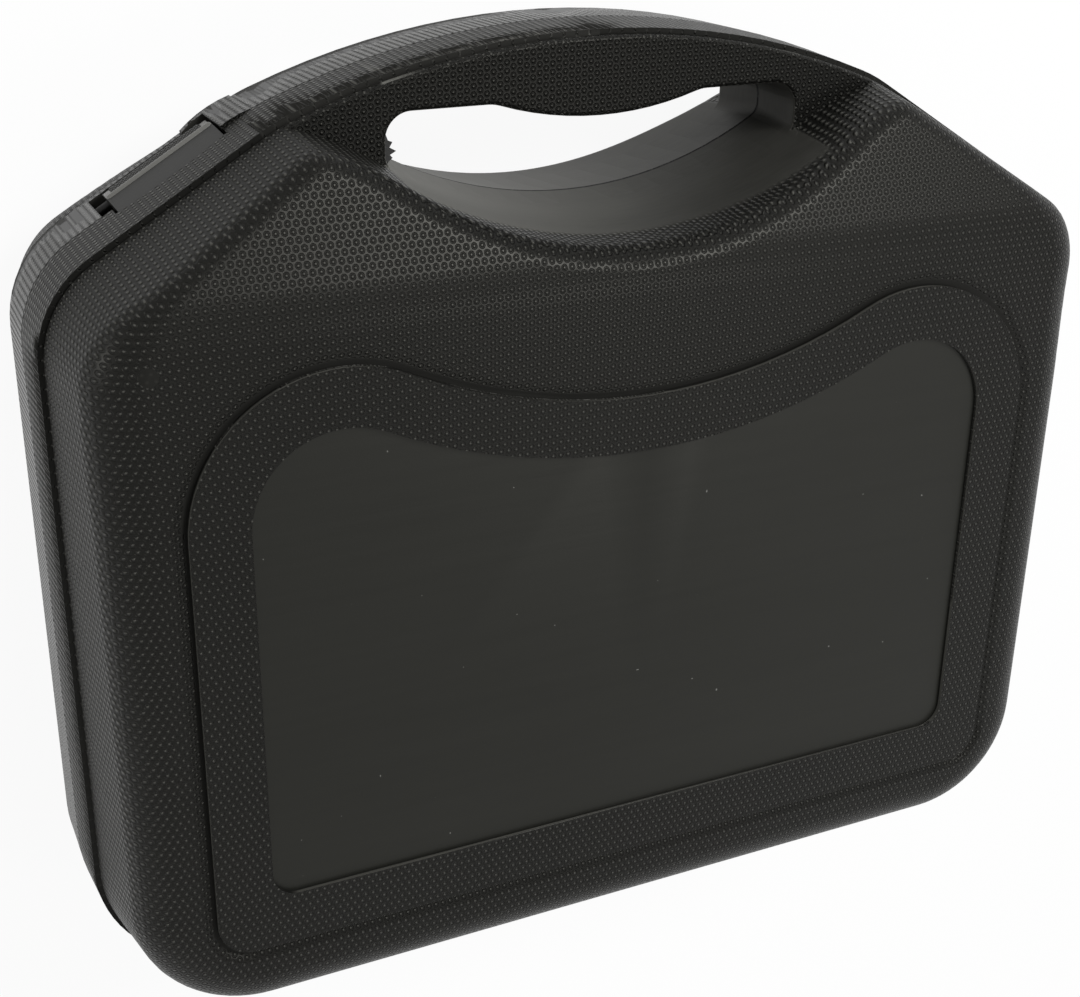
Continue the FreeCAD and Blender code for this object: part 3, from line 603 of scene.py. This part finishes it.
def end_block(name, side, end, finish):
    """A smooth block at a plate's end, low enough at the back to turn in the base's notch."""
    block_length, sunk, rounding = 0.0024, -0.0006, 0.0004
    front, back, front_rise, back_rise = 0.0085, 0.0152, 0.00042, 0.00020
    points = []
    for along in (end * latch_half, end * (latch_half - block_length)):
        points += [(along, sunk, front), (along, sunk, back)]
        points += [(along, front_rise, front), (along, back_rise, back)]
    faces = [(0, 1, 3, 2), (4, 5, 7, 6), (0, 1, 5, 4), (2, 3, 7, 6), (0, 2, 6, 4), (1, 3, 7, 5)]
    return latch_piece(name, side, points, faces, finish, rounding)


def stud_field(finish):
    """Geometry nodes that set a moulded stud on each point of a mesh."""
    stud_radius, stud_tip, stud_height, stud_sides = 0.00058, 0.00022, 0.00040, 8
    group = bpy.data.node_groups.new("stud_field", "GeometryNodeTree")
    group.interface.new_socket("Points", in_out="INPUT", socket_type="NodeSocketGeometry")
    sizes = (("Stud Radius", stud_radius), ("Stud Tip", stud_tip), ("Stud Height", stud_height))
    for label, size in sizes:
        made = group.interface.new_socket(label, in_out="INPUT", socket_type="NodeSocketFloat")
        made.default_value = size
    group.interface.new_socket("Studs", in_out="OUTPUT", socket_type="NodeSocketGeometry")
    given = group.nodes.new("NodeGroupInput")
    made = group.nodes.new("NodeGroupOutput")
    stud = group.nodes.new("GeometryNodeMeshCone")
    stud.inputs["Vertices"].default_value = stud_sides
    group.links.new(given.outputs["Stud Radius"], stud.inputs["Radius Bottom"])
    group.links.new(given.outputs["Stud Tip"], stud.inputs["Radius Top"])
    group.links.new(given.outputs["Stud Height"], stud.inputs["Depth"])
    spread = group.nodes.new("GeometryNodeInstanceOnPoints")
    normal = group.nodes.new("GeometryNodeInputNormal")
    stand = group.nodes.new("FunctionNodeAlignRotationToVector")
    stand.axis = "Z"
    group.links.new(normal.outputs[0], stand.inputs["Vector"])
    real = group.nodes.new("GeometryNodeRealizeInstances")
    dress = group.nodes.new("GeometryNodeSetMaterial")
    dress.inputs["Material"].default_value = finish
    group.links.new(given.outputs["Points"], spread.inputs["Points"])
    group.links.new(stud.outputs["Mesh"], spread.inputs["Instance"])
    group.links.new(stand.outputs["Rotation"], spread.inputs["Rotation"])
    group.links.new(spread.outputs["Instances"], real.inputs["Geometry"])
    group.links.new(real.outputs["Geometry"], dress.inputs["Geometry"])
    group.links.new(dress.outputs["Geometry"], made.inputs["Studs"])
    return group


def stud_points(side):
    """Staggered rows between the end blocks, from the lip to the plate's turned tail."""
    pitch, row, in_row, plate_rows = 0.00150, 0.00088, 21, 7
    first_back, lip_rise, lip_foot, lip_slope = 0.0095, 0.0008, 0.0102, 0.0016
    seated = 0.00004
    rows = []
    for number in range(plate_rows):
        back = first_back + number * row
        rise = lip_rise * min(max((lip_foot - back) / lip_slope, 0), 1)
        rows.append((rise - seated, back))
    # three more rows go round the tail, sunk so that they turn clear of the base's notch
    for angle, sink in ((0.10, 0.00009), (0.34, 0.00017), (0.58, 0.00024)):
        out = tail_radius * math.cos(angle) - tail_radius - sink
        rows.append((out, pivot_back + tail_radius * math.sin(angle)))
    points = []
    for number, (out, back) in enumerate(rows):
        shift = pitch / 2 * (number % 2)
        for step in range(in_row):
            along = (step - in_row // 2) * pitch + shift - pitch / 4
            points.append(on_latch(side, along, out, back))
    return points


def studs(name, side, group):
    """The rows of studs on a latch, as one plain mesh."""
    seat = 0.0002
    mesh = bpy.data.meshes.new(name)
    out = on_latch(side, 0, 1, 0) - on_latch(side, 0, 0, 0)
    run = on_latch(side, seat, 0, 0) - on_latch(side, 0, 0, 0)
    depth = Vector((0, 0, seat))
    corners, faces = [], []
    for point in stud_points(side):
        low = len(corners)
        corners += [point, point + run, point + depth]
        order = (low, low + 1, low + 2)
        faces.append(order if run.cross(depth).dot(out) > 0 else order[::-1])
    mesh.from_pydata(corners, [], faces)
    holder = bpy.data.objects.new(name, mesh)
    bpy.context.scene.collection.objects.link(holder)
    field = holder.modifiers.new("studs", "NODES")
    field.node_group = group
    bpy.context.view_layer.update()
    shown = holder.evaluated_get(bpy.context.evaluated_depsgraph_get())
    plain = bpy.data.meshes.new_from_object(shown)
    holder.modifiers.remove(field)
    holder.data = plain
    plain.name = name
    return holder


latch_smooth = plain_plastic("latch_smooth", (0.016, 0.016, 0.0148), (0.026, 0.0258, 0.024),
                             0.36, 0.00003)
# painted highlight: the lip and the end blocks are painted light grey on the black plastic
latch_painted_highlight = plain_plastic("latch_lip", (0.110, 0.109, 0.100), (0.150, 0.148, 0.138),
                             0.30, 0.00002)
latch_studs = plain_plastic("latch_studs", (0.020, 0.020, 0.018), (0.034, 0.0336, 0.031),
                            0.30, 0.00002)
stud_group = stud_field(latch_studs)
for side_name, side in (("right", 1), ("left", -1)):
    plate = smooth_copy("latch_" + side_name, "latch_plate_" + side_name)
    plate.data.materials.append(latch_smooth)
    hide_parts("latch_" + side_name)
    pieces = [plate, lip("latch_lip_" + side_name, side, latch_painted_highlight),
              studs("latch_studs_" + side_name, side, stud_group)]
    for label, end in (("low", 1), ("high", -1)):
        block_name = "latch_end_%s_%s" % (label, side_name)
        pieces.append(end_block(block_name, side, end, latch_painted_highlight))
    for piece in pieces:
        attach(piece, side_name + "_latch")

# The hinge pins are drawn steel rod with formed heads, pushed through the knuckles. The latch
# pins are short rods of the latches' smooth black plastic in blind bores.
steel = Finish("pin_steel", Metallic=1.0)
along_rod = steel.stretched(steel.place()[0], (40.0, 900.0, 900.0))
steel_noise = steel.noise(along_rod, 3.0)
steel.feed("Base Color", steel.mix(steel_noise, (0.45, 0.45, 0.46), (0.6, 0.6, 0.61)))
steel.feed("Roughness", steel_noise * 0.2 + 0.28)
for node in ("hinge_pin_right", "hinge_pin_left", "latch_pin_right", "latch_pin_left"):
    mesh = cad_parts[node].data
    mesh.materials.clear()
    mesh.materials.append(steel.material if "hinge" in node else smooth_plastic)

# The feet are smooth black pads, pressed into seats in the hinge edge. One is on the lid and
# two are on the base.
for node, body in (("lid_foot", "lid"), ("base_foot_right", "base"), ("base_foot_left", "base")):
    pad = smooth_copy(node, node + "_pad")
    pad.data.materials.append(smooth_plastic)
    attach(pad, body)
    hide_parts(node)
